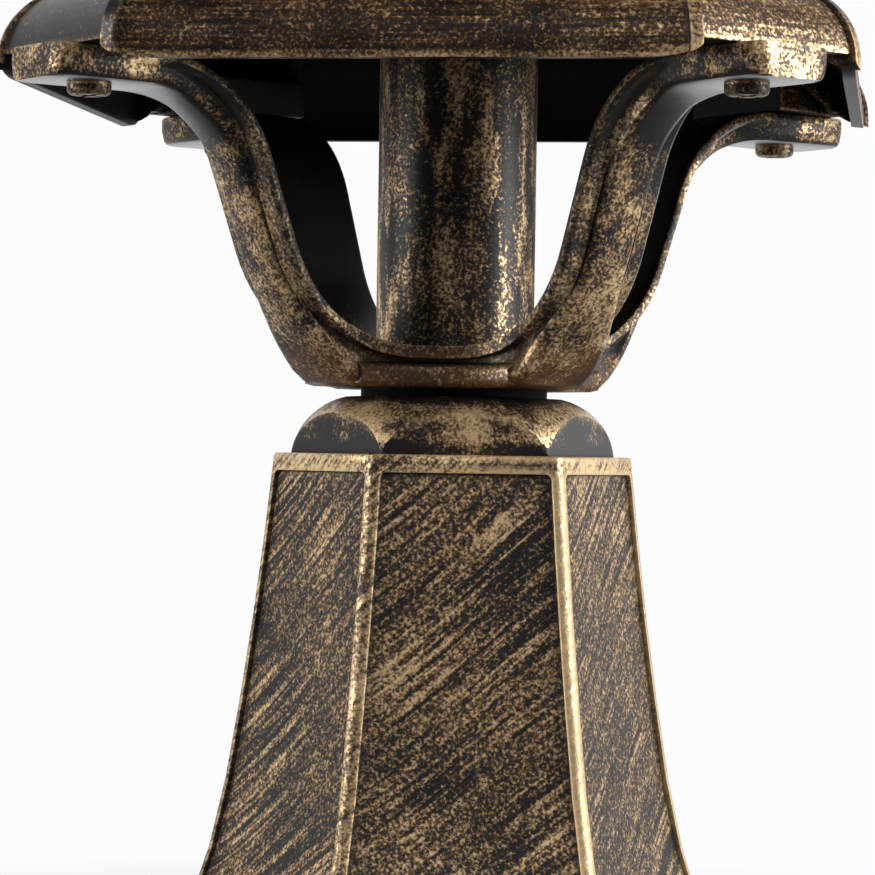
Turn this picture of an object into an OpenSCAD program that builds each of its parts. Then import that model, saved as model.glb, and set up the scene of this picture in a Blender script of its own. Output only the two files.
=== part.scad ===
/* [Pedestal] */
// Height of the pedestal, from the ground to its top rim
ped_h = 165; // [160:1:172]
// Size of the pedestal's top rim, from corner to corner
ped_top_d = 89.6; // [86:0.2:92]
// Turn of the pedestal against the head, as the thread came tight
ped_turn = 12.5; // [0:0.5:30]
// Thickness of the cast walls
ped_wall = 4; // [3:0.5:5]
// Depth of the sunk panels
panel_depth = 1; // [0.4:0.2:1.6]
// Width of the raised strip that frames a panel, on each side of a corner
strip_w = 2.4; // [1.6:0.2:4]
// Height of the plain band round the top rim
band_h = 4.3; // [3:0.1:8]
// Size of the foot plate, from corner to corner
foot_d = 200; // [196:1:220]
// Thickness of the foot plate
foot_t = 9; // [6:1:12]
// Diameter of the three fixing holes in the foot
foot_hole_d = 5.5; // [4.5:0.5:6.5]
// Diameter of the circle that the fixing holes lie on
foot_pcd = 157; // [155:1:160]

/* [Neck] */
// Size of the hexagonal neck cap, from corner to corner
neck_d = 80; // [76:1:84]
// Height of the neck cap
neck_h = 14; // [12:1:16]
// Diameter of the flat disc between the cap and the cradle
gasket_d = 46; // [40:1:50]
// Thickness of that disc
gasket_t = 2; // [1:0.5:3]

/* [Cradle] */
// Height of the cradle's base
base_h = 10; // [8:1:12]
// Width of the cradle's base, where it is narrowest between two arms
base_w = 57; // [54:1:60]
// Width of an arm's inner flange and of its tab
arm_w = 24; // [22:0.2:26]
// Thickness of an arm's inner flange
arm_t = 3; // [2.5:0.5:4]
// Width of the rib along the outside of an arm
rib_w = 14; // [10:1:18]
// Thickness of the tab at the end of an arm
tab_t = 7.6; // [6:0.2:9]
// Distance from the middle to the screw in a tab
screw_r = 105.8; // [104:0.2:108]

/* [Screws] */
// Diameter of the shank of the cradle screws
screw_d = 5; // [4:0.5:5]
// Diameter of their heads
screw_head_d = 10.2; // [9:0.2:12]
// Height of their heads
screw_head_h = 2.8; // [2.4:0.2:4.5]

/* [Tube and pipe] */
// Outer diameter of the tube inside the cradle
tube_d = 39; // [32:1:40]
// Wall of that tube
tube_wall = 2; // [1.5:0.5:3]
// Outer diameter of the threaded pipe
pipe_d = 10; // [10:1:12]
// Diameter of the way for the wires through the pipe
pipe_bore_d = 7; // [6:0.5:8]

/* [Pan] */
// Width of the pan across its flat sides
pan_w = 197; // [195:1:206]
// Distance between opposite cut corners of the pan
pan_corner_w = 231.2; // [230:0.2:240]
// Height of the pan's rim above the pedestal's top rim
pan_rim_up = 86.6; // [86:0.1:88]
// Height of the upright lip at the rim
pan_lip = 3; // [2:0.5:6]
// Radius of the round shoulder above the lip
pan_round = 18; // [14:1:20]
// Slope of the pan's top
pan_slope = 20; // [15:1:25]
// Wall of the pan
pan_wall = 3; // [2.5:0.5:4]

/* [Lantern] */
// Width of the cage where it stands on the pan
cage_foot_w = 126; // [120:1:130]
// Width of the cage at its top
cage_top_w = 160; // [150:1:170]
// Height of the cage
cage_h = 165; // [160:1:180]
// Width of the cage's posts
post_w = 12; // [9:1:15]
// Thickness of the cage's walls
cage_wall = 3; // [2.5:0.5:3.5]
// Thickness of the glass panes
pane_t = 3; // [2:0.5:3]
// Width of the roof at its eaves
roof_w = 206; // [200:1:216]
// Height of the roof
roof_h = 62; // [55:1:75]
// Thickness of the roof
roof_wall = 2.5; // [2:0.5:3.5]
// Largest diameter of the finial
finial_d = 24; // [20:1:28]

/* [Lamp] */
// Diameter of the lampholder
holder_d = 38; // [36:1:42]
// Height of the lampholder
holder_h = 42; // [40:1:45]
// Diameter of the bulb
bulb_d = 60; // [45:1:60]

/* [Hidden] */
$fn = 96;
black = "#1b1815";
brass = "#b08d4a";
steel = "#8f9398";

// Lengths that reach past a side and past the whole lantern
reach = 150;
far = 400;

// Heights of what stands on what
rim_z = ped_h;
gasket_z = rim_z + neck_h;
base_z = gasket_z + gasket_t;
base_top_z = base_z + base_h;
pan_z = rim_z + pan_rim_up;
pan_top_t = 4;

// Turn from the head to a flat side of the hexagons
hex_turn = ped_turn + 30;

// Nuts and washers, and the play of a screw or the pipe in its hole
nut_h = 5;
nut_d = 19;
washer_d = 26;
washer_t = 2;
pipe_clear = 0.4;
screw_clear = 0.5;

// A point on an arc that starts at p with heading h and turns by t, to the left where t is positive
function along(p, h, r, t) = p + sign(t) * r * [sin(h + t) - sin(h), cos(h) - cos(h + t)];

// Points along a chain of steps from p. A step is [radius, turn], or [length, 0] for a straight
function trace(p, h, steps, i = 0) =
    i == len(steps) ? [p] :
    let (s = steps[i], n = s[1] == 0 ? 1 : max(4, ceil(abs(s[1]) / 5)))
    concat(
        [for (k = [0 : n - 1]) s[1] == 0 ? p : along(p, h, s[0], s[1] * k / n)],
        trace(s[1] == 0 ? p + s[0] * [cos(h), sin(h)] : along(p, h, s[0], s[1]), h + s[1], steps, i + 1)
    );

function reversed(points) = [for (i = [len(points) - 1 : -1 : 0]) points[i]];
function flip(points) = [for (i = [len(points) - 1 : -1 : 0]) [-points[i][0], points[i][1]]];
function both_sides(points) = concat(points, flip(points));
function moved(points, by) = [for (p = points) p + by];
function below(points, top) = [for (p = points) if (p[1] < top) p];
function last_of(points) = points[len(points) - 1];

// Straight bar along Y whose section is drawn in X and Z
module bar(points, length) {
    rotate([90, 0, 0]) linear_extrude(length, center = true) polygon(points);
}

// Solid whose equal sides all follow one profile of [distance from the middle, height]
module faceted(profile, sides) {
    intersection_for (k = [0 : sides / 2 - 1])
        rotate(k * 360 / sides) bar(both_sides(profile), 2 * reach);
}

module at_corners(r) {
    for (k = [0 : 3]) rotate(45 + 90 * k) translate([r, 0, 0]) children();
}

module hexagon(d, h) {
    rotate(hex_turn + 30) cylinder(d = d, h = h, $fn = 6);
}

module hex_nut(h, across, hole) {
    difference() {
        cylinder(d = across, h = h, $fn = 6);
        translate([0, 0, -1]) cylinder(d = hole, h = h + 2);
    }
}

module washer(h, d, hole) {
    difference() {
        cylinder(d = d, h = h);
        translate([0, 0, -1]) cylinder(d = hole, h = h + 2);
    }
}

// Pan head screw that points up, with the underside of its head at z = 0
module pan_screw(d, head_d, head_h, length) {
    dome = head_h / 2;
    slot_w = head_d * 0.15;
    slot_len = head_d * 0.74;
    slot_deep = head_h * 0.5;
    difference() {
        union() {
            cylinder(d = d, h = length);
            translate([0, 0, -head_h + dome]) cylinder(d = head_d, h = head_h - dome);
            rotate_extrude() intersection() {
                translate([head_d / 2 - dome, -head_h + dome]) circle(dome);
                translate([0, -head_h]) square([head_d, head_h]);
            }
            translate([0, 0, -head_h]) cylinder(d = head_d - 2 * dome, h = head_h);
        }
        for (a = [0, 90]) rotate(a)
            translate([0, 0, -head_h]) cube([slot_len, slot_w, 2 * slot_deep], center = true);
    }
}

// Pedestal: the flare of its sides, as distances from the middle to a flat side
ped_top_a = ped_top_d / 2 * cos(30);
rim_round = 0.8;
ped_flare = concat(
    [for (a = [90 : -30 : 0]) [ped_top_a, rim_z] - rim_round * [1 - cos(a), 1 - sin(a)]],
    below(trace([ped_top_a, rim_z], -85.4, [[1180, 3.9], [203, 19.4]]), rim_z - rim_round)
);
ped_top_t = 5;
panel_round = 1.6;
corner_cut = 0.6;
panel_top = rim_z - band_h;
panel_foot = foot_t + 14;
panel_from = 20;
foot_step = 5;

module ped_body(sink) {
    side = moved(ped_flare, [-sink, 0]);
    rotate(hex_turn) faceted(concat(side, [[last_of(side)[0], 0]]), 6);
}

// Half the width of a flat side at a height
function ped_half(z) = lookup(z, [for (p = ped_flare) [p[1], p[0]]]) * tan(30);

// Cutter for one sunk panel, with small round corners at its top
module panel_cut() {
    top = panel_top - panel_round;
    heights = concat([top], [for (p = ped_flare) if (p[1] < top && p[1] > panel_foot) p[1]]);
    side = [for (z = heights) [ped_half(z) - strip_w, z]];
    centre = side[0] - [panel_round, 0];
    corner = [for (a = [90 : -15 : 15]) centre + panel_round * [cos(a), sin(a)]];
    outline = concat(corner, side, [[last_of(side)[0] + 1, panel_foot]]);
    rotate([90, 0, 90]) translate([0, 0, panel_from]) linear_extrude(reach) polygon(both_sides(outline));
}

// Bounds of the sides, with a narrow flat in place of each sharp corner
module ped_corners() {
    line = [for (p = ped_flare) [p[0] / cos(30) - corner_cut, p[1]]];
    rotate(hex_turn + 30) faceted(concat(line, [[last_of(line)[0], 0]]), 6);
}

module ped_hollow() {
    under = rim_z - ped_top_t;
    line = moved(below(ped_flare, under), [-ped_wall - panel_depth, 0]);
    rotate(hex_turn) faceted(concat([[line[0][0], under]], line, [[last_of(line)[0], -1]]), 6);
}

module pedestal() {
    color(black) difference() {
        union() {
            ped_body(panel_depth);
            difference() {
                intersection() {
                    ped_body(0);
                    ped_corners();
                }
                for (k = [0 : 5]) rotate(hex_turn + 60 * k) panel_cut();
            }
            hexagon(foot_d, foot_t);
            hexagon(foot_d - 4 * foot_step, foot_t + foot_step);
        }
        ped_hollow();
        cylinder(d = pipe_d + pipe_clear, h = far);
        rotate(-90 + ped_turn) for (k = [0 : 2]) rotate(120 * k)
            translate([foot_pcd / 2, 0, -1]) cylinder(d = foot_hole_d, h = foot_t + 2 * foot_step + 2);
        translate(earth_at) cylinder(d = earth_d, h = 2 * earth_hole, center = true);
    }
}

// Neck cap: a hexagon under a round dome
neck_round = 17.2;
neck_sink = 2.8;
neck_cup_d = 52;
neck_cup_h = 8;

module neck_cap() {
    dome_r = neck_d / 2 - sqrt(neck_round ^ 2 - neck_sink ^ 2);
    color(black) translate([0, 0, rim_z]) difference() {
        intersection() {
            hexagon(neck_d, neck_h);
            rotate_extrude() union() {
                square([dome_r, neck_h]);
                intersection() {
                    translate([dome_r, -neck_sink]) circle(neck_round);
                    square([neck_d, neck_h]);
                }
            }
        }
        cylinder(d = neck_cup_d, h = 2 * neck_cup_h, center = true);
        cylinder(d = pipe_d + pipe_clear, h = far, center = true);
    }
}

module neck_gasket() {
    color(black) translate([0, 0, gasket_z]) washer(gasket_t, gasket_d, pipe_d + pipe_clear);
}

// Cradle: the inside face of an arm, as [distance from the middle, height]
arm_start = 22.5;
arm_rise = 69.5;
arm_end = 121;
tab_round = 4;
arm_curve = trace([arm_start, base_top_z], 0, [[35, arm_rise], [11, 0], [11, 0], [33.4, -arm_rise]]);
tab_top = last_of(arm_curve)[1];
tab_z = tab_top - tab_t;
arm_line = concat(arm_curve, [for (back = [12, tab_round, 1.2, 0]) [arm_end - back, tab_top]]);
valley_r = base_w / 2;
base_r = 38.5;
groove_in = 2.4;
groove_h = 1;
swell_round = 2.2;

// The valley between two arms is a circle that both arms touch
valley_c = (arm_w / 2 - valley_r) / (sin(45) - 1);
valley_d = 2 * (valley_c - valley_r);
base_square = 2 * (valley_c - valley_d / 2 * sin(45));
base_reach = 46;

// Depth from the inside face to the crown of the rib, by distance from the middle
arm_depths = [
    [arm_start, base_h - 0.1], [28.5, 10.4], [31.4, 11.3], [34.4, 11.6], [37.2, 10.6], [40, 9],
    [42.7, 7.7], [47, 6.3], [53, 5.3], [60, 5.3], [64.5, 6.4], [72, 7.2], [92, tab_t]
];

// Half the width of the rib, which spreads towards the base and into the tab, and the slant of its sides
rib_halves = [
    [41, arm_w / 2 - groove_in], [47, 8.4], [52, rib_w / 2], [78, rib_w / 2], [88, 9.8], [98, arm_w / 2]
];
rib_slants = [[34, 2.2], [42, 1.6], [52, 0]];
rib_round = 2.4;
edge_round = 1;

// Half the width of the arm, which shrinks at the round corners of the tab
function arm_half(r) = arm_w / 2 - (r > arm_end - tab_round
    ? tab_round - sqrt(max(0.4, tab_round ^ 2 - (r - arm_end + tab_round) ^ 2)) : 0);

// Half of the T section at one station, as [half width, depth], from the inside face to the crown
function arm_section(r) =
    let (
        side = arm_half(r),
        rib = min(side, lookup(r, rib_halves)),
        slant = lookup(r, rib_slants),
        depth = lookup(r, arm_depths),
        step = min(1, (side - rib) / 2),
        e = edge_round, c = rib_round, shelf = arm_t
    )
    concat(
        [[side - e, 0], [side - e * 0.3, e * 0.3], [side, e], [side, shelf - e]],
        [[side - e * step, shelf - 0.2], [rib + 0.8 * step, shelf], [rib, shelf + 0.6]],
        [for (a = [0 : 30 : 90]) [rib + slant - 0.4 - c * (1 - cos(a)), depth - c * (1 - sin(a))]]
    );

function heading(i) = let (
    a = arm_line[max(0, i - 1)], b = arm_line[min(len(arm_line) - 1, i + 1)]
) i == 0 ? 0 : atan2(b[1] - a[1], b[0] - a[0]);

function arm_ring(i) =
    let (p = arm_line[i], h = heading(i), half = arm_section(p[0]))
    [for (m = [1, -1], k = [0 : len(half) - 1]) let (
        q = m > 0 ? half[k] : half[len(half) - 1 - k]
    ) [p[0] + q[1] * sin(h), m * q[0], p[1] - q[1] * cos(h)]];

// One arm, swept as a loft through the T sections
module cradle_arm() {
    rings = [for (i = [0 : len(arm_line) - 1]) arm_ring(i)];
    n = len(rings[0]);
    last = len(rings) - 1;
    polyhedron(
        points = [for (ring = rings, p = ring) p],
        faces = concat(
            [[for (k = [0 : n - 1]) n - 1 - k]],
            [[for (k = [0 : n - 1]) last * n + k]],
            [for (i = [0 : last - 1], k = [0 : n - 1]) let (j = (k + 1) % n)
                [i * n + k, i * n + j, (i + 1) * n + j]],
            [for (i = [0 : last - 1], k = [0 : n - 1]) let (j = (k + 1) % n)
                [i * n + k, (i + 1) * n + j, (i + 1) * n + k]]
        )
    );
}

// Inner face and crown of an arm near the base, as [distance from the middle, height]
near_base = [for (i = [0 : len(arm_line) - 1]) if (arm_line[i][0] < base_reach) i];
base_top_line = concat([[0, base_top_z]], [for (i = near_base) arm_line[i]]);
base_crown = concat([[0, base_z], [arm_start, base_z]], [
    for (i = near_base) if (i > 0) let (h = heading(i), depth = lookup(arm_line[i][0], arm_depths))
        arm_line[i] + depth * [sin(h), -cos(h)]
]);

// Quarter of the base that holds one arm, between two such lines drawn right across it
module base_quarter(low, high) {
    intersection() {
        rotate(45) bar(concat(low, reversed(high)), 2 * reach);
        cube([base_square / 2, base_square / 2, far]);
    }
}

// Base: a flange that rises into the arms, over a groove and a swelling foot
module cradle_base() {
    under = moved(base_top_line, [0, -arm_t]);
    groove_z = base_top_z - arm_t - groove_h;
    swell = trace([valley_d / 2 + groove_in, groove_z], 180, [
        [swell_round, 90], [groove_z - base_z - 2 * swell_round, 0], [swell_round, 90]
    ]);
    for (k = [0 : 3]) rotate(90 * k) {
        difference() {
            base_quarter(under, base_top_line);
            for (a = [0, 90]) rotate(a) translate([valley_c, 0]) cylinder(d = valley_d, h = far);
        }
        difference() {
            intersection() {
                base_quarter(base_crown, under);
                cylinder(r = base_r, h = far);
            }
            for (a = [0, 90]) rotate(a) translate([valley_c, 0]) rotate_extrude() polygon(
                concat([[0, far], [swell[0][0], far]], swell, [[last_of(swell)[0], 0], [0, 0]]));
        }
    }
}

module cradle() {
    color(black) difference() {
        union() {
            cradle_base();
            for (k = [0 : 3]) rotate(45 + 90 * k) cradle_arm();
        }
        cylinder(d = pipe_d + pipe_clear, h = far);
        at_corners(screw_r) translate([0, 0, tab_z - 1]) cylinder(d = screw_d + screw_clear, h = tab_t + 2);
    }
}

// Pan: outer profile of a side, up to the flat seat of the cage
pan_a = pan_w / 2;
seat_a = cage_foot_w / 2;
pan_profile = let (
    turn = 90 - pan_slope,
    arc = trace([pan_a, pan_z + pan_lip], 90, [[pan_round, turn]]),
    top = last_of(arc),
    rise = (top[0] - seat_a) * tan(pan_slope)
) concat([[pan_a, pan_z]], arc, [[seat_a, top[1] + rise]]);
pan_top_z = last_of(pan_profile)[1];
tube_top = pan_top_z - pan_top_t;
corner_in = pan_corner_w / 2 - pan_a;
notch_half = 22;
notch_round = 9;
ridge_w = 3;
ridge_proud = 0.7;

// Lugs inside the pan's corners, which the cradle's screws go into
lug_t = 9;
lug_w = 34;
lug_from = 92;
lug_floor = 2;

module cradle_screws() {
    color(black) at_corners(screw_r) translate([0, 0, tab_z])
        pan_screw(screw_d, screw_head_d, screw_head_h, tab_t + lug_t - lug_floor);
}

module stem_tube() {
    color(black) translate([0, 0, base_top_z]) difference() {
        cylinder(d = tube_d, h = tube_top - base_top_z);
        translate([0, 0, -1]) cylinder(d = tube_d - 2 * tube_wall, h = far);
    }
}

// Pipe that clamps the whole stack
holder_floor = 10;
pipe_end = 6;
pipe_foot = rim_z - ped_top_t - washer_t - nut_h - pipe_end;
pipe_top = pan_top_z + washer_t + nut_h + holder_floor;

module threaded_pipe() {
    color(brass) translate([0, 0, pipe_foot]) washer(pipe_top - pipe_foot, pipe_d, pipe_bore_d);
}

module pipe_washer() {
    color(steel) translate([0, 0, rim_z - ped_top_t - washer_t]) washer(washer_t, washer_d, pipe_d + pipe_clear);
}

module pipe_nut() {
    color(brass) translate([0, 0, rim_z - ped_top_t - washer_t - nut_h]) hex_nut(nut_h, nut_d, pipe_d);
}

// Screw for the earth wire, in a blind hole in the pedestal's top
earth_d = 4;
earth_head_d = 7.5;
earth_head_h = 2.6;
earth_hole = 3;
earth_at = [22, 0, rim_z - ped_top_t];

module earth_screw() {
    color(brass) translate(earth_at) pan_screw(earth_d, earth_head_d, earth_head_h, earth_hole - 0.5);
}

// Body of the pan, sunk by a wall and lowered by a drop for its hollow
module pan_body(sink, drop) {
    square_side = moved(pan_profile, [-sink, 0]);
    corner_side = moved(pan_profile, [corner_in - sink, 0]);
    intersection() {
        faceted(concat([[square_side[0][0], pan_z - drop]], square_side), 4);
        rotate(45) faceted(concat([[corner_side[0][0], pan_z - drop]], corner_side), 4);
    }
}

// Raised ridge along the edge between a side and a cut corner
edge_turn = 22.5;
edge_y = pan_corner_w / 2 * sqrt(2) - pan_a;

module pan_ridge() {
    line = [for (p = pan_profile) [(p[0] - pan_a) / cos(edge_turn) + ridge_proud, p[1]]];
    end = last_of(line);
    translate([pan_a, edge_y, 0]) rotate(edge_turn)
        bar(concat(line, [[end[0], end[1] - pan_wall], [-pan_wall, pan_z]]), ridge_w);
}

// The rim rises in a curve on both sides of each arm's tab
module pan_notch() {
    depth = tab_top - pan_z;
    outer = notch_half + notch_round;
    curve = [for (a = [0 : 15 : 90]) [outer - notch_round * sin(a), pan_z + depth * (1 - cos(a))]];
    translate([lug_from - lug_t, 0, 0]) rotate([90, 0, 90]) linear_extrude(reach)
        polygon(both_sides(reversed(concat([[outer, pan_z - 1]], curve))));
}

module pan_shell() {
    difference() {
        pan_body(0, 0);
        intersection() {
            pan_body(pan_wall, 1);
            cylinder(r = reach, h = pan_top_z - pan_top_t);
        }
    }
}

module pan_lugs() {
    intersection() {
        pan_body(0, 0);
        at_corners(lug_from) translate([0, -lug_w / 2, tab_top]) cube([reach, lug_w, lug_t]);
    }
}

module pan() {
    color(black) difference() {
        union() {
            pan_shell();
            pan_lugs();
            for (k = [0 : 3]) rotate(90 * k) for (m = [0, 1]) mirror([0, m, 0]) pan_ridge();
        }
        for (k = [0 : 3]) rotate(45 + 90 * k) pan_notch();
        at_corners(screw_r) translate([0, 0, tab_top - 1]) cylinder(d = screw_d, h = lug_t - lug_floor + 1);
        translate([0, 0, pan_z]) cylinder(d = pipe_d + pipe_clear, h = far);
        cage_screw_places() translate([0, 0, pan_top_z]) cylinder(d = cage_screw_d, h = 2 * far, center = true);
    }
}

module pan_washer() {
    color(steel) translate([0, 0, pan_top_z]) washer(washer_t, washer_d, pipe_d + pipe_clear);
}

module pan_nut() {
    color(brass) translate([0, 0, pan_top_z + washer_t]) hex_nut(nut_h, nut_d, pipe_d);
}

// Lampholder, which screws on to the pipe, and bulb
holder_z = pan_top_z + washer_t + nut_h;
holder_foot_d = 30;
holder_cone = 6;
sleeve_d = 29;
sleeve_floor = 1;
sleeve_h = 28;
cap_d = 26;
cap_h = 24;

module lampholder_body() {
    shoulder = holder_floor + holder_cone;
    color("#e8e2d2") translate([0, 0, holder_z]) difference() {
        union() {
            cylinder(d = holder_foot_d, h = holder_floor);
            translate([0, 0, holder_floor]) cylinder(d1 = holder_foot_d, d2 = holder_d, h = holder_cone);
            translate([0, 0, shoulder]) cylinder(d = holder_d, h = holder_h - shoulder);
        }
        translate([0, 0, holder_floor]) cylinder(d = sleeve_d, h = far);
        translate([0, 0, -1]) cylinder(d = pipe_d, h = far);
    }
}

module lampholder_sleeve() {
    color(brass) translate([0, 0, holder_z + holder_floor]) difference() {
        cylinder(d = sleeve_d, h = sleeve_h);
        translate([0, 0, sleeve_floor]) cylinder(d = cap_d, h = far);
        translate([0, 0, -1]) cylinder(d = pipe_d, h = far);
    }
}

bulb_z = holder_z + holder_floor + sleeve_floor;
bulb_rise = 52;
bulb_flare = 50;

module bulb() {
    r = bulb_d / 2;
    touch = acos((bulb_flare + cap_d / 2) / (bulb_flare + r));
    flare_z = bulb_rise - (bulb_flare + r) * sin(touch);
    color("#f4f1e8") translate([0, 0, bulb_z]) rotate_extrude() union() {
        square([cap_d / 2, cap_h]);
        intersection() {
            translate([0, cap_h + bulb_rise]) circle(r);
            square([r, far]);
        }
        difference() {
            translate([0, cap_h - 1]) square([r * cos(touch), bulb_rise - r * sin(touch) + 1]);
            translate([bulb_flare + cap_d / 2, cap_h + flare_z]) circle(bulb_flare);
        }
    }
}

// Cage, whose walls lean out: all its pieces are cut to measures inwards from its outer face
cage_z = pan_top_z;
cage_top_z = cage_z + cage_h;
ledge_w = 16;
ledge_t = 3;
ring_h = 11;
cage_screw_d = 4;
cage_screw_in = 16;
function lean(up) = cage_foot_w / 2 + (cage_top_w - cage_foot_w) / 2 * up / cage_h;

// Slab of one leaning side, from depth a to depth b behind its outer face
module side_slab(a, b, low, high) {
    bar([[lean(low) - b, cage_z + low], [lean(low) - a, cage_z + low],
        [lean(high) - a, cage_z + high], [lean(high) - b, cage_z + high]], 2 * reach);
}

module cage_block(inset, low, high) {
    intersection_for (a = [0, 90]) rotate(a) bar(both_sides([
        [lean(low) - inset, cage_z + low], [lean(high) - inset, cage_z + high]]), 2 * reach);
}

// Upright cut through two opposite sides, as wide as the side less the inset
module side_window(inset, low, high) {
    bar(both_sides([[lean(low) - inset, cage_z + low], [lean(high) - inset, cage_z + high]]), 2 * reach);
}

module cage_screw_places() {
    at_corners(lean(0) * sqrt(2) - cage_screw_in) children();
}

module cage() {
    color(black) difference() {
        cage_block(0, 0, cage_h);
        cage_block(cage_wall, ledge_t, cage_h + 1);
        cage_block(ledge_w, -1, ledge_t + 1);
        for (a = [0, 90]) rotate(a) side_window(post_w, ring_h, cage_h - ring_h);
        cage_screw_places() translate([0, 0, cage_z - 1])
            cylinder(d = cage_screw_d + screw_clear, h = ledge_t + 2);
    }
}

module cage_screws() {
    color(black) cage_screw_places() translate([0, 0, cage_z + ledge_t]) mirror([0, 0, 1])
        pan_screw(cage_screw_d, 2 * cage_screw_d, 0.7 * cage_screw_d, ledge_t + pan_top_t + 0.5);
}

pane_gap = 4;
pane_top = cage_h - 7;

module pane(side) {
    color([0.85, 0.9, 0.9, 0.35]) intersection() {
        rotate(90 * side) side_slab(cage_wall, cage_wall + pane_t, ledge_t, pane_top);
        rotate(90 * side + 90) side_window(cage_wall + pane_t + pane_gap, ledge_t, pane_top);
    }
}

module glass_front() { pane(3); }
module glass_right() { pane(0); }
module glass_back() { pane(1); }
module glass_left() { pane(2); }

clip_t = 1.5;
clip_len = 14;
clip_h = 9;

// Corner clip that holds the edges of two panes, with a tongue that reaches the post
module clip(k) {
    back = cage_wall + pane_t;
    high = pane_top - 1;
    low = high - clip_h;
    rotate(90 * k) for (a = [0, 90]) intersection() {
        rotate(a) side_slab(back, back + clip_t, low, high);
        rotate(90 - a) side_slab(back, back + clip_len, low, high);
    }
    rotate(90 * k) intersection() {
        side_slab(cage_wall, back + clip_t, low, high);
        rotate(90) side_slab(cage_wall, back + clip_t, low, high);
    }
}

module pane_clips() {
    color(steel) for (k = [0 : 3]) clip(k);
}

// Roof with its stud
strap_w = 16;
strap_t = 3;
stud_d = 6;
stud_nut_d = 11.5;
stud_in_finial = 12;
soffit_in = cage_top_w / 2 - 6;
roof_z = cage_top_z;
eave_h = 5;
crown_a = 11;
crown_t = 6;
roof_bow = 14;
roof_line = let (
    rise = roof_h - eave_h,
    run = roof_w / 2 - crown_a,
    chord = atan2(rise, run),
    r = sqrt(rise ^ 2 + run ^ 2) / 2 / sin(roof_bow)
) trace([roof_w / 2, roof_z + eave_h], 180 - chord + roof_bow, [[r, -2 * roof_bow]]);
roof_top = roof_z + roof_h;

module roof_strap() {
    color(steel) difference() {
        union() {
            intersection() {
                cage_block(cage_wall, cage_h - strap_t, cage_h);
                translate([0, 0, cage_top_z]) cube([far, strap_w, far], center = true);
            }
            for (a = [0, 180]) rotate(a) intersection() {
                side_slab(cage_wall, cage_wall + strap_t, pane_top + 0.5, cage_h);
                translate([0, 0, cage_top_z]) cube([far, strap_w, far], center = true);
            }
        }
        cylinder(d = stud_d + screw_clear, h = 2 * far);
    }
}

stud_foot = cage_top_z - strap_t - nut_h - 2;

module roof_stud() {
    color(steel) translate([0, 0, stud_foot]) cylinder(d = stud_d, h = roof_top + stud_in_finial - stud_foot);
}

// Nuts on both sides of the strap
module stud_nut() {
    color(steel) for (foot = [cage_top_z - strap_t - nut_h, cage_top_z])
        translate([0, 0, foot]) hex_nut(nut_h, stud_nut_d, stud_d);
}

module roof() {
    outer = concat([[roof_w / 2, roof_z]], roof_line);
    inner = moved(below(roof_line, roof_top - crown_t), [-roof_wall * 1.4, -roof_wall * 0.4]);
    color(black) difference() {
        faceted(outer, 4);
        faceted(concat([[inner[0][0], roof_z + roof_wall]], inner), 4);
        translate([0, 0, roof_z]) cube([2 * soffit_in, 2 * soffit_in, 3 * roof_wall], center = true);
        cylinder(d = stud_d + screw_clear, h = 2 * far);
    }
}

// Turned finial: a collar, a waist and a pointed drop, with a blind hole for the stud
module finial() {
    r = finial_d / 2;
    collar_h = 3;
    waist_r = 0.45 * r;
    drop_z = 14;
    drop = trace([waist_r, drop_z - 4], 60, [[1.1 * r, 75], [1.6 * r, 30], [3, 0]]);
    tip = last_of(drop);
    color(black) translate([0, 0, roof_top]) difference() {
        rotate_extrude() union() {
            square([0.9 * r, collar_h]);
            square([waist_r, drop_z]);
            translate([waist_r, collar_h + 2.4]) circle(2.4);
            polygon(concat([[0, drop_z - 4]], [for (p = drop) if (p[0] > 0) p], [[0, tip[1]]]));
        }
        translate([0, 0, -1]) cylinder(d = stud_d, h = stud_in_finial + 1);
    }
}

pedestal();
neck_cap();
neck_gasket();
cradle();
cradle_screws();
stem_tube();
threaded_pipe();
pipe_washer();
pipe_nut();
earth_screw();
pan();
pan_washer();
pan_nut();
lampholder_body();
lampholder_sleeve();
bulb();
cage();
cage_screws();
glass_front();
glass_right();
glass_back();
glass_left();
pane_clips();
roof_strap();
roof_stud();
stud_nut();
roof();
finial();
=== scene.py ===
"""Pier lantern in black paint brushed with antique gold, seen at its cradle from just below the head."""
import math

import bmesh
import bpy
from mathutils import Matrix, Vector


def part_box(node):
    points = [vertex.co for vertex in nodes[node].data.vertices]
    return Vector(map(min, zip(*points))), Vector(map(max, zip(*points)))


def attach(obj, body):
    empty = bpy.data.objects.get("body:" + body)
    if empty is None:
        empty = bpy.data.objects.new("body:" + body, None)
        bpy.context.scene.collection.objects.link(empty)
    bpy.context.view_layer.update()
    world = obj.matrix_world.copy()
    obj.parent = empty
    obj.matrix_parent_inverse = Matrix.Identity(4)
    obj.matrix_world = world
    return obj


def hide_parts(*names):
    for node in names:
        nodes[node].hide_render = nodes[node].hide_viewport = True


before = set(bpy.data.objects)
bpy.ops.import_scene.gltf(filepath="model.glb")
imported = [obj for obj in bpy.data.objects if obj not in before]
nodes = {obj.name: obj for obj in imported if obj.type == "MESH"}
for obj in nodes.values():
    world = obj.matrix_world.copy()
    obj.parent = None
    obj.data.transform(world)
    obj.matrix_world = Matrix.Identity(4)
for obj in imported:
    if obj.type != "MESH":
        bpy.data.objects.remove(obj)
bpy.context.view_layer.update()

MM = 0.001
rim_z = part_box("pedestal")[1].z
cradle_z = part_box("cradle")[0].z
pan_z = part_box("pan")[0].z
lampholder_top_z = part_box("lampholder_body")[1].z


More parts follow.
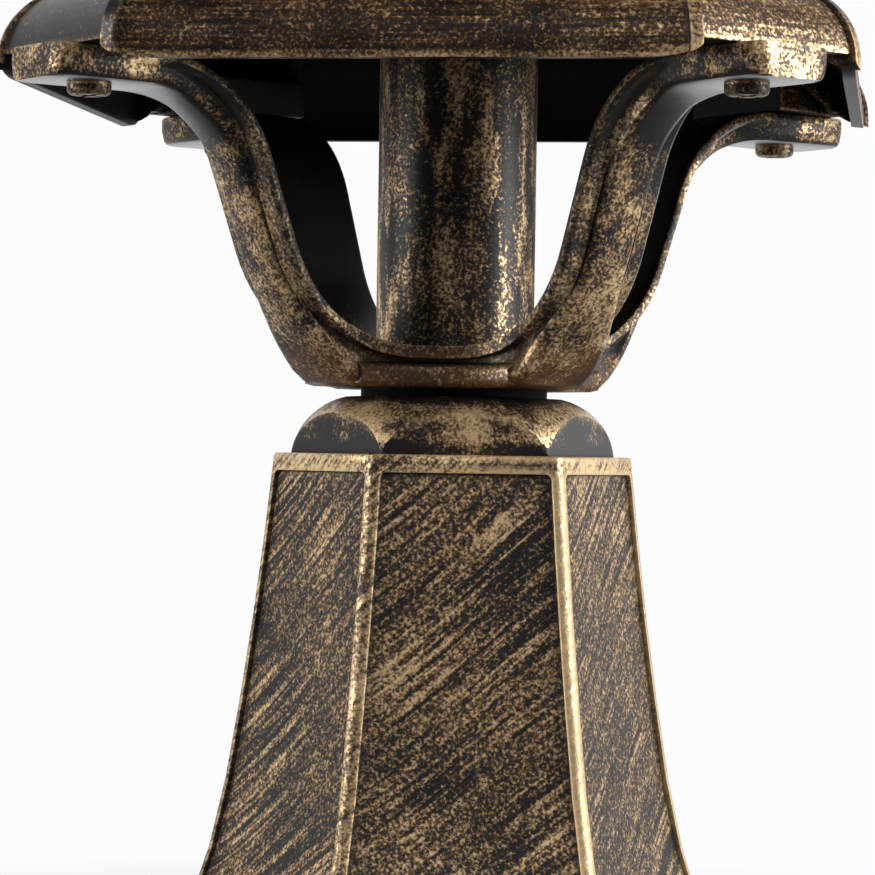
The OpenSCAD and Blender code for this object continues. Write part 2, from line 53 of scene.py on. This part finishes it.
class Wire:
    """One value in a graph of nodes. Python's operators on it add Math nodes."""

    def __init__(self, graph, socket):
        self.graph, self.socket = graph, socket

    def math(self, operation, *values):
        return self.graph.add("ShaderNodeMath", {"operation": operation}, dict(enumerate(values)))

    def __add__(self, other):
        return self.math("ADD", self, other)

    def __sub__(self, other):
        return self.math("SUBTRACT", self, other)

    def __rsub__(self, other):
        return self.math("SUBTRACT", other, self)

    def __mul__(self, other):
        return self.math("MULTIPLY", self, other)

    def __truediv__(self, other):
        return self.math("DIVIDE", self, other)

    __radd__ = __add__
    __rmul__ = __mul__

    def larger(self, other):
        return self.math("MAXIMUM", self, other)

    def rise(self, low, high):
        """0 below low, 1 above high, and smooth between. With low above high it falls instead."""
        bounds = {"Value": self, "From Min": low, "From Max": high}
        return self.graph.add("ShaderNodeMapRange", {"interpolation_type": "SMOOTHSTEP"}, bounds)


class Graph:
    """The nodes of a material or of the world."""

    def __init__(self, tree):
        self.tree = tree
        tree.nodes.clear()

    def add(self, kind, settings=None, inputs=None, output=0):
        """One node, with its settings, and with values or wires on its sockets."""
        node = self.tree.nodes.new(kind)
        for key, value in (settings or {}).items():
            setattr(node, key, value)
        for key, value in (inputs or {}).items():
            if isinstance(value, Wire):
                self.tree.links.new(value.socket, node.inputs[key])
            else:
                node.inputs[key].default_value = value
        return Wire(self, node.outputs[output])

    def add_many(self, kind, names, inputs=None):
        """One node, of which several outputs are used."""
        outputs = self.add(kind, {}, inputs).socket.node.outputs
        return [Wire(self, outputs[name]) for name in names]

    def axes(self, vector):
        return self.add_many("ShaderNodeSeparateXYZ", "XYZ", {0: vector})

    def show(self, shader, kind="ShaderNodeOutputMaterial"):
        output = self.tree.nodes.new(kind)
        self.tree.links.new(shader.socket, output.inputs["Surface"])


class Finish(Graph):
    """A material in Object coordinates and metres. x, y, z is the place and nx, ny, nz the normal."""

    def __init__(self, name):
        self.material = bpy.data.materials.new(name)
        self.material.use_nodes = True
        super().__init__(self.material.node_tree)
        self.place = self.add("ShaderNodeTexCoord", output="Object")
        self.x, self.y, self.z = self.axes(self.place)
        self.nx, self.ny, self.nz = self.axes(self.add("ShaderNodeNewGeometry", output="Normal"))

    def vector(self, x, y, z):
        return self.add("ShaderNodeCombineXYZ", {}, {0: x, 1: y, 2: z})

    def noise(self, place, scale, detail, roughness):
        inputs = {"Vector": place, "Scale": scale, "Detail": detail, "Roughness": roughness}
        return self.add("ShaderNodeTexNoise", {}, inputs)

    def blend(self, amount, first, second):
        """Mix of two colours. The node names its sockets alike for every type, so they go by number."""
        settings = {"data_type": "RGBA", "clamp_factor": True}
        return self.add("ShaderNodeMix", settings, {0: amount, 6: first, 7: second}, 2)

    def edges(self, reach):
        """1 along outward edges, from how little solid lies behind the surface within reach."""
        settings = {"inside": True, "only_local": True, "samples": 3}
        return 1.0 - self.add("ShaderNodeAmbientOcclusion", settings, {"Distance": reach}, "AO")

    def hollows(self, reach):
        """1 deep in grooves and corners, within reach."""
        settings = {"only_local": True, "samples": 2}
        return 1.0 - self.add("ShaderNodeAmbientOcclusion", settings, {"Distance": reach}, "AO")

    def rounded(self, radius):
        return self.add("ShaderNodeBevel", {"samples": 2}, {"Radius": radius})

    def from_axis(self):
        """Distance from the lantern's axis, which never quite reaches 0."""
        return (self.x * self.x + self.y * self.y).math("SQRT").larger(1 * MM)

    def outward(self, normal_x, normal_y):
        """1 for a normal that points away from the lantern's axis, -1 for one that points at it."""
        return (normal_x * self.x + normal_y * self.y) / self.from_axis()

    def above(self, level, low, high):
        """0 up to low mm over the level, and 1 from high mm on. With low above high it falls."""
        return self.z.rise(level + low * MM, level + high * MM)

    def bump(self, height, depth, strength, normal=None):
        inputs = {"Height": height, "Distance": depth, "Strength": strength}
        if normal is not None:
            inputs["Normal"] = normal
        return self.add("ShaderNodeBump", {}, inputs)

    def surface(self, **sockets):
        """The shader itself. Underscores in the names stand for spaces."""
        inputs = {name.replace("_", " "): value for name, value in sockets.items()}
        self.show(self.add("ShaderNodeBsdfPrincipled", {}, inputs))
        return self.material


def rgb(red, green, blue):
    """Screen values from 0 to 255 as the linear colour that a shader takes."""
    def linear(value):
        value /= 255
        return value / 12.92 if value <= 0.04045 else ((value + 0.055) / 1.055) ** 2.4
    return (linear(red), linear(green), linear(blue), 1.0)


black_paint = rgb(16, 14, 15)
rubbed_black_paint = rgb(27, 23, 23)
# Darker black where the brush doesn't reach: partly painted shade on faces that look inward or down.
shaded_unbrushed_paint = rgb(5, 5, 7)
brown_wash = rgb(86, 58, 34)
thin_gold = rgb(98, 65, 35)
full_gold = rgb(240, 208, 160)


# Brush marks. Each gives the place in a noise, scaled by cells per metre, so that a large number
# runs across the strokes and a small one along them.
def level_strokes(f):
    return f.vector(f.x * 30, f.y * 30, f.z * 900)


def upright_clouds(f):
    return f.vector(f.x * 190, f.y * 190, f.z * 40)


def slanting_strokes(f):
    """Strokes round the pedestal that climb to the right."""
    climb = math.radians(38)
    middle_radius = 48 * MM
    turn = f.x.math("ARCTAN2", f.x, f.y * -1.0) * middle_radius
    along = turn * math.cos(climb) + f.z * math.sin(climb)
    across = f.z * math.cos(climb) - turn * math.sin(climb)
    return f.vector(along * 24, across * 680, 0.0)


def round_clouds(f):
    return f.vector(f.x * 160, f.y * 160, f.z * 110)


# Gold lies where the wear and its specks pass a threshold. First how far each kind of mark moves
# the wear, then the thresholds of the gold, of its full colour and of the brown wash beside it.
grain_swing = 2.5
mottle_swing = 0.5
least_brushed = 0.3
edge_least = 0.45
edge_clouds = 0.9
bare_loss = 3.0
gold_range = (0.28, 1.08)
full_gold_range = (0.05, 1.20)
full_gold_grain = 0.6
wash_range = (0.30, 0.85)
wash_grain = 0.25


def antique(
    name, strokes, cover, stroke_gold, cloud_gold, edge_gold, edge_reach=2.2, hollow_black=0.9,
    bare=None, edge_place=None, wash=None, satin=None, gloss=0.3,
):
    """Black paint with gold brushed over it: thick on edges, speckled on faces, none in hollows.

    cover says how much gold lies on open faces, and stroke_gold, cloud_gold and edge_gold how much
    the strokes, the clouds and the edges (edge_reach mm deep) change that. The masks say where:
    bare where the brush doesn't reach and where a darker black paints shade, edge_place which
    edges take gold, wash where more of the brown wash lies, and satin where the paint has a sheen.
    """
    f = Finish(name)
    f.soft_normal = f.rounded(0.7 * MM)
    f.hollow = f.hollows(6 * MM).rise(0.22, 0.62)
    grain = f.noise(f.place, 1250.0, 2.0, 0.65)
    mottle = f.noise(f.place, 430.0, 1.0, 0.5)
    clouds = f.noise(f.place, 60.0, 2.0, 0.5)
    stroke = f.noise(strokes(f), 1.0, 2.0, 0.6)
    brushed = f.noise(f.place, 38.0, 2.0, 0.6).rise(0.36, 0.62)
    edge = f.edges(edge_reach * MM).rise(0.05, 0.55)
    if edge_place:
        edge = edge * edge_place(f)

    wear = cover(f) if callable(cover) else cover
    wear = wear + (stroke - 0.5) * stroke_gold * (least_brushed + brushed)
    wear = wear + (clouds - 0.5) * cloud_gold
    wear = wear + edge * (edge_least + clouds * edge_clouds) * edge_gold - f.hollow * hollow_black
    if bare:
        unbrushed_and_shaded = bare(f)
        wear = wear - unbrushed_and_shaded * bare_loss
    speck = (grain - 0.5) * grain_swing + (mottle - 0.5) * mottle_swing
    gold = (wear + speck).rise(*gold_range)
    gold_tint = f.blend((wear + speck * full_gold_grain).rise(*full_gold_range), thin_gold, full_gold)
    washed = wear + speck * wash_grain
    washed = (washed + wash(f) if wash else washed).rise(*wash_range)

    paint = f.blend(washed, f.blend(clouds, black_paint, rubbed_black_paint), brown_wash)
    # Where the brush doesn't reach, the paint turns a darker black: painted shade on inward and downward
    # faces.
    if bare:
        paint = f.blend(unbrushed_and_shaded, paint, shaded_unbrushed_paint)
    relief = speck * 0.5 + gold * 0.5
    return f.surface(
        Base_Color=f.blend(gold, paint, gold_tint),
        Metallic=gold * 0.7,
        Roughness=0.42 - gold * 0.06,
        Specular_IOR_Level=gloss,
        Coat_Weight=satin(f) if satin else 0.0,
        Coat_Roughness=0.28,
        Normal=f.bump(relief, 0.06 * MM, 0.6, f.soft_normal),
    )


def inner_faces(f):
    """Faces that look at the axis, which the brush doesn't reach."""
    # These faces also take the darker black of painted shade.
    return f.outward(f.nx, f.ny).rise(0.05, -0.35)


def pedestal_cover_and_highlight(f):
    """Thickest on the rim band of the sides that turn away from the front, a painted highlight where the
    side lamps light those sides.
    """
    turned_away = f.ny.rise(-0.93, -0.80)
    side_lit_rim_band = f.above(rim_z, -7, -3)
    # Painted highlight: more gold on the rim band of the side-lit faces.
    return 0.50 - turned_away * 0.03 + turned_away * side_lit_rim_band * 0.32


def pedestal_edges_and_highlight(f):
    """The right-hand beads take more gold: a painted highlight on the side that the right-hand lamp
    lights.
    """
    return 0.60 + f.x.rise(0.0, 30 * MM) * 1.3


def neck_cover(f):
    """Much gold on the round shoulder, some on the front side and hardly any on the others."""
    shoulder = f.nz.rise(0.04, 0.25) * f.nz.rise(1.0, 0.80)
    front = f.ny.rise(-0.80, -0.93)
    foot = f.above(rim_z, 4, 1)
    return 0.14 + shoulder * 0.56 + front * 0.52 - foot * 0.5


def neck_edges(f):
    """Edges of the neck cap, apart from its foot."""
    return f.above(rim_z, 3, 7)


def neck_satin(f):
    """The upright sides on the right."""
    return f.nz.rise(0.3, 0.05) * f.nx.rise(0.2, 0.6) * 0.4


def cradle_foot(f):
    return f.above(cradle_z, 11, 7)


def cradle_cover(f):
    """Most gold on the tabs' ends, and least on the flange's narrow sides and on the foot."""
    tab_ends = f.from_axis().rise(96 * MM, 112 * MM)
    narrow = f.edges(3.5 * MM).rise(0.30, 0.60)
    return 0.34 + tab_ends * 0.24 - narrow * 0.24 - cradle_foot(f) * 0.12


def cradle_edges(f):
    """Edges whose rounding leans up and in, such as the flange's top edge but not its lower one."""
    lean_x, lean_y, lean_z = f.axes(f.soft_normal)
    return 0.25 + (lean_z - f.outward(lean_x, lean_y)).rise(-0.1, 0.5) * 0.75


def cradle_wash(f):
    """Brown on the swelling foot and beside the groove."""
    beside_groove = f.hollow.rise(0.02, 0.20) * f.hollow.rise(0.60, 0.30)
    return cradle_foot(f) * 0.50 + beside_groove * 0.25


def cradle_satin(f):
    """Undersides of the tabs, and less and less of the arms below them."""
    return f.nz.rise(-0.40, -0.88) * f.above(pan_z, -30, -6)


# Inner faces, and in part the tab undersides: no gold, and the darker black of painted shade.
def cradle_bare_and_shaded(f):
    return inner_faces(f).larger(cradle_satin(f) * 0.35)


def tube_cover_and_reflection(f):
    """More gold on an upright band on the left, a painted reflection of the bright room behind on the
    left.
    """
    return 0.42 + f.nx.rise(-0.80, -0.97) * 0.3


def brushed_over(f):
    """The two cut corners of the pan that the brush passed over, front left and back right."""
    return (f.nx * f.ny).rise(0.08, 0.20)


def pan_cover_and_highlight(f):
    """Less gold on two cut corners, more on the other two, and more towards the right, a painted highlight
    on the side that the right-hand lamp lights.
    """
    speckled = (f.nx * f.ny).rise(-0.08, -0.20)
    # Painted highlight: more gold towards the lit right-hand side.
    right = f.x.rise(0.0, 80 * MM)
    return 0.28 - brushed_over(f) * 0.18 + speckled * 0.10 + right * 0.06


def pan_edges(f):
    """The rim and the ridges, but not the thin wall on top."""
    return f.nz.rise(0.50, 0.35)


def pan_wash(f):
    return 0.21 - brushed_over(f) * 0.06


def pan_satin(f):
    return brushed_over(f) * 0.5


# Inner and downward faces: no gold, and the darker black of painted shade.
def pan_bare_and_shaded(f):
    return inner_faces(f).larger(f.nz.rise(-0.5, -0.9))


finishes = {
    "pedestal": antique(
        "gold_on_black_pedestal", slanting_strokes, pedestal_cover_and_highlight,
        stroke_gold=1.7, cloud_gold=0.4, edge_gold=0.9, edge_place=pedestal_edges_and_highlight,
    ),
    "neck_cap": antique(
        "gold_on_black_neck", round_clouds, neck_cover,
        stroke_gold=0.9, cloud_gold=1.6, edge_gold=0.9, edge_reach=2.5,
        edge_place=neck_edges, satin=neck_satin,
    ),
    "cradle": antique(
        "gold_on_black_cradle", round_clouds, cradle_cover,
        stroke_gold=1.0, cloud_gold=1.2, edge_gold=0.9, edge_reach=1.2, hollow_black=1.6,
        bare=cradle_bare_and_shaded, edge_place=cradle_edges, wash=cradle_wash, satin=cradle_satin,
    ),
    "stem_tube": antique(
        "gold_on_black_tube", upright_clouds, tube_cover_and_reflection,
        stroke_gold=2.6, cloud_gold=0.5, edge_gold=0.2, edge_reach=1.0,
    ),
    "pan": antique(
        "gold_on_black_pan", level_strokes, pan_cover_and_highlight,
        stroke_gold=0.9, cloud_gold=0.5, edge_gold=0.6, edge_reach=1.9,
        bare=pan_bare_and_shaded, edge_place=pan_edges, wash=pan_wash, satin=pan_satin, gloss=0.15,
    ),
    "lantern": antique(
        "gold_on_black_lantern", level_strokes, cover=0.38,
        stroke_gold=0.9, cloud_gold=0.5, edge_gold=0.9, bare=inner_faces,
    ),
    "screw": antique(
        "gold_on_black_screws", round_clouds, cover=0.42,
        stroke_gold=0.3, cloud_gold=0.6, edge_gold=0.5, edge_reach=0.8,
    ),
}


def plain_metal(name, colour, roughness, marks):
    """Bare metal with fine turning marks, so many to the metre of height, and slightly darker stains."""
    f = Finish(name)
    lines = f.noise(f.vector(f.x * 90, f.y * 90, f.z * marks), 1.0, 3.0, 0.6)
    stain = f.noise(f.place, 140.0, 3.0, 0.6)
    stained = tuple(0.8 * value for value in colour[:3]) + (1.0,)
    return f.surface(
        Base_Color=f.blend(stain, colour, stained),
        Metallic=1.0,
        Roughness=roughness + (lines - 0.5) * 0.2,
        Normal=f.bump(lines, 0.02 * MM, 0.5, f.rounded(0.2 * MM)),
    )


def rubber():
    f = Finish("black_rubber")
    grain = f.noise(f.place, 900.0, 3.0, 0.6)
    return f.surface(
        Base_Color=f.blend(grain, rgb(4, 4, 5), rgb(9, 8, 9)),
        Roughness=0.72 + (grain - 0.5) * 0.2,
        Specular_IOR_Level=0.1,
        Normal=f.bump(grain, 0.03 * MM, 0.5),
    )


def glazed_porcelain():
    f = Finish("glazed_porcelain")
    shade = f.noise(f.place, 60.0, 2.0, 0.5)
    return f.surface(
        Base_Color=f.blend(shade, rgb(236, 232, 220), rgb(222, 216, 200)),
        Roughness=0.14 + shade * 0.06,
        Normal=f.bump(shade, 0.1 * MM, 0.4, f.rounded(0.6 * MM)),
    )


def clear_glass():
    """Window glass, drawn with slow waves."""
    f = Finish("clear_glass")
    waves = f.noise(f.vector(f.x * 14, f.y * 14, f.z * 5), 1.0, 1.0, 0.5)
    return f.surface(
        Base_Color=rgb(240, 246, 244),
        Roughness=0.02 + waves * 0.02,
        Transmission_Weight=1.0,
        IOR=1.45,
        Normal=f.bump(waves, 0.6 * MM, 0.3),
    )


def opal_bulb():
    """White glass over a cap of bare aluminium, which the lampholder hides almost wholly."""
    f = Finish("opal_bulb")
    glass = f.above(lampholder_top_z, -0.3, 0.3)
    shade = f.noise(f.place, 80.0, 2.0, 0.5)
    white_glass = f.blend(shade, rgb(246, 244, 238), rgb(238, 235, 226))
    return f.surface(
        Base_Color=f.blend(glass, rgb(190, 192, 196), white_glass),
        Metallic=1.0 - glass,
        Roughness=0.3 - glass * 0.12,
        Subsurface_Weight=0.2,
        Subsurface_Radius=(4 * MM, 4 * MM, 4 * MM),
    )


def make(name, data):
    """A new object in the scene."""
    made = bpy.data.objects.new(name, data)
    bpy.context.scene.collection.objects.link(made)
    return made


def set_finish(piece, material):
    piece.data.materials.clear()
    piece.data.materials.append(material)


def smooth_casting(name, sharpest=30):
    """A merged copy of a CAD casting, shaded smooth where its faces meet at less than sharpest degrees."""
    mesh = nodes[name].data.copy()
    if mesh.has_custom_normals:
        mesh.attributes.remove(mesh.attributes["custom_normal"])
    shape = bmesh.new()
    shape.from_mesh(mesh)
    bmesh.ops.remove_doubles(shape, verts=shape.verts, dist=0.005 * MM)
    for face in shape.faces:
        face.smooth = True
    for edge in shape.edges:
        edge.smooth = edge.is_manifold and edge.calc_face_angle(0.0) < math.radians(sharpest)
    shape.to_mesh(mesh)
    shape.free()
    piece = make(name + "_casting", mesh)
    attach(piece, "root")
    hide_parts(name)
    set_finish(piece, finishes[name])


def dress(names, material):
    """Puts a material on CAD nodes, whose shapes stay."""
    for name in names:
        set_finish(nodes[name], material)


for casting in ("pedestal", "cradle", "pan"):
    smooth_casting(casting)
brass = plain_metal("brass", rgb(196, 160, 96), roughness=0.3, marks=2400)
zinc = plain_metal("zinc_plated_steel", rgb(176, 180, 186), roughness=0.35, marks=1600)
dress(["neck_cap"], finishes["neck_cap"])
dress(["cradle_screws", "cage_screws"], finishes["screw"])
dress(["stem_tube"], finishes["stem_tube"])
dress(["cage", "roof", "finial"], finishes["lantern"])
dress(["neck_gasket"], rubber())
dress(["threaded_pipe", "pipe_nut", "pan_nut", "earth_screw", "lampholder_sleeve"], brass)
dress(["pipe_washer", "pan_washer", "pane_clips", "roof_strap", "roof_stud", "stud_nut"], zinc)
dress(["lampholder_body"], glazed_porcelain())
dress(["glass_front", "glass_right", "glass_back", "glass_left"], clear_glass())
dress(["bulb"], opal_bulb())


# Camera: the pixel at which the lantern's axis crosses the height of the pedestal's rim
picture = 875
axis_px = (453, 455)
focal_px = 3350
sensor = 36.0
camera_turn = math.radians(7.8)
camera_roll = math.radians(0.9)
camera_away = 0.828
nearest_seen = 0.01


def look(place, target):
    """Placement of a camera or a lamp that looks from its place at the target."""
    aim = (Vector(target) - Vector(place)).to_track_quat("-Z", "Y")
    return Matrix.Translation(place) @ aim.to_matrix().to_4x4()


def camera():
    data = bpy.data.cameras.new("camera")
    data.sensor_width = sensor
    data.lens = focal_px / picture * sensor
    data.shift_x = 0.5 - axis_px[0] / picture
    data.shift_y = axis_px[1] / picture - 0.5
    data.clip_start = nearest_seen
    target = Vector((0, 0, rim_z))
    place = target + camera_away * Vector((math.sin(camera_turn), -math.cos(camera_turn), 0))
    placed = make("camera", data)
    placed.matrix_world = look(place, target) @ Matrix.Rotation(camera_roll, 4, "Z")
    bpy.context.scene.camera = placed


# Floor and backdrop
white = (0.975, 0.975, 0.985, 1.0)
floor_radius = 30.0
floor_colours = ((0.80, 0.80, 0.81, 1.0), (0.83, 0.83, 0.84, 1.0))
floor_as_lit = (0.25, 0.25, 0.25, 1.0)
floor_fades = (0.30, 0.55)
floor_behind = (-0.3, 0.3)


def floor_finish():
    """Pale floor that fades into the white backdrop away from the lantern, and throws little light up."""
    f = Finish("pale_floor")
    direct, glossy = f.add_many("ShaderNodeLightPath", ["Is Camera Ray", "Is Glossy Ray"])
    seen = direct.larger(glossy * f.y.rise(*floor_behind))
    distance = f.add("ShaderNodeVectorMath", {"operation": "LENGTH"}, {0: f.place}, "Value")
    grain = f.noise(f.place, 6.0, 2.0, 0.5)
    colour = f.blend(direct, floor_as_lit, f.blend(grain, *floor_colours))
    pale = f.add("ShaderNodeBsdfPrincipled", {}, {"Base Color": colour, "Roughness": 0.6})
    glow = f.add("ShaderNodeEmission", {}, {"Color": white, "Strength": 1.0})
    fade = seen * distance.rise(*floor_fades)
    f.show(f.add("ShaderNodeMixShader", {}, {0: fade, 1: pale, 2: glow}))
    return f.material


def floor():
    mesh = bpy.data.meshes.new("floor")
    shape = bmesh.new()
    bmesh.ops.create_circle(shape, cap_ends=True, segments=96, radius=floor_radius)
    shape.to_mesh(mesh)
    shape.free()
    mesh.materials.append(floor_finish())
    make("floor", mesh)


# What metal mirrors and what lights the paint, where white is 1
bright_turn = math.radians(6)
room_brightens = (0.05, 0.35)
room_in_front = 0.05
room_behind = 0.95
room_light = 0.12


def backdrop():
    """White to the camera and through glass. Metal mirrors a room that is darker towards the front."""
    world = bpy.data.worlds.new("studio")
    bpy.context.scene.world = world
    world.use_nodes = True
    g = Graph(world.node_tree)
    direction = g.add("ShaderNodeTexCoord", output="Generated")
    across, back = g.add_many("ShaderNodeSeparateXYZ", "XY", {0: direction})
    behind = back * math.cos(bright_turn) + across * math.sin(bright_turn)
    kinds = ["Is Camera Ray", "Is Transmission Ray", "Is Glossy Ray"]
    direct, through, glossy = g.add_many("ShaderNodeLightPath", kinds)
    seen = direct.larger(through)
    room = room_in_front + behind.rise(*room_brightens) * room_behind
    strength = seen + (1.0 - seen) * (glossy * room + (1.0 - glossy) * room_light)
    light = g.add("ShaderNodeBackground", {}, {"Color": white, "Strength": strength})
    g.show(light, "ShaderNodeOutputWorld")


lamps_target = (0, 0, 0.2)


def lamp(name, place, size, power):
    data = bpy.data.lights.new(name, "AREA")
    data.shape = "RECTANGLE"
    data.size, data.size_y = size
    data.energy = power
    make(name, data).matrix_world = look(place, lamps_target)


floor()
backdrop()
lamp("left_softbox", place=(-1.35, -0.5, 0.5), size=(0.4, 1.2), power=15)
lamp("right_softbox", place=(1.4, -0.1, 0.5), size=(0.4, 1.2), power=24)
lamp("front_softbox", place=(0.3, -1.6, 1.3), size=(1.0, 0.8), power=9)
camera()

bpy.context.scene.view_settings.view_transform = "Standard"
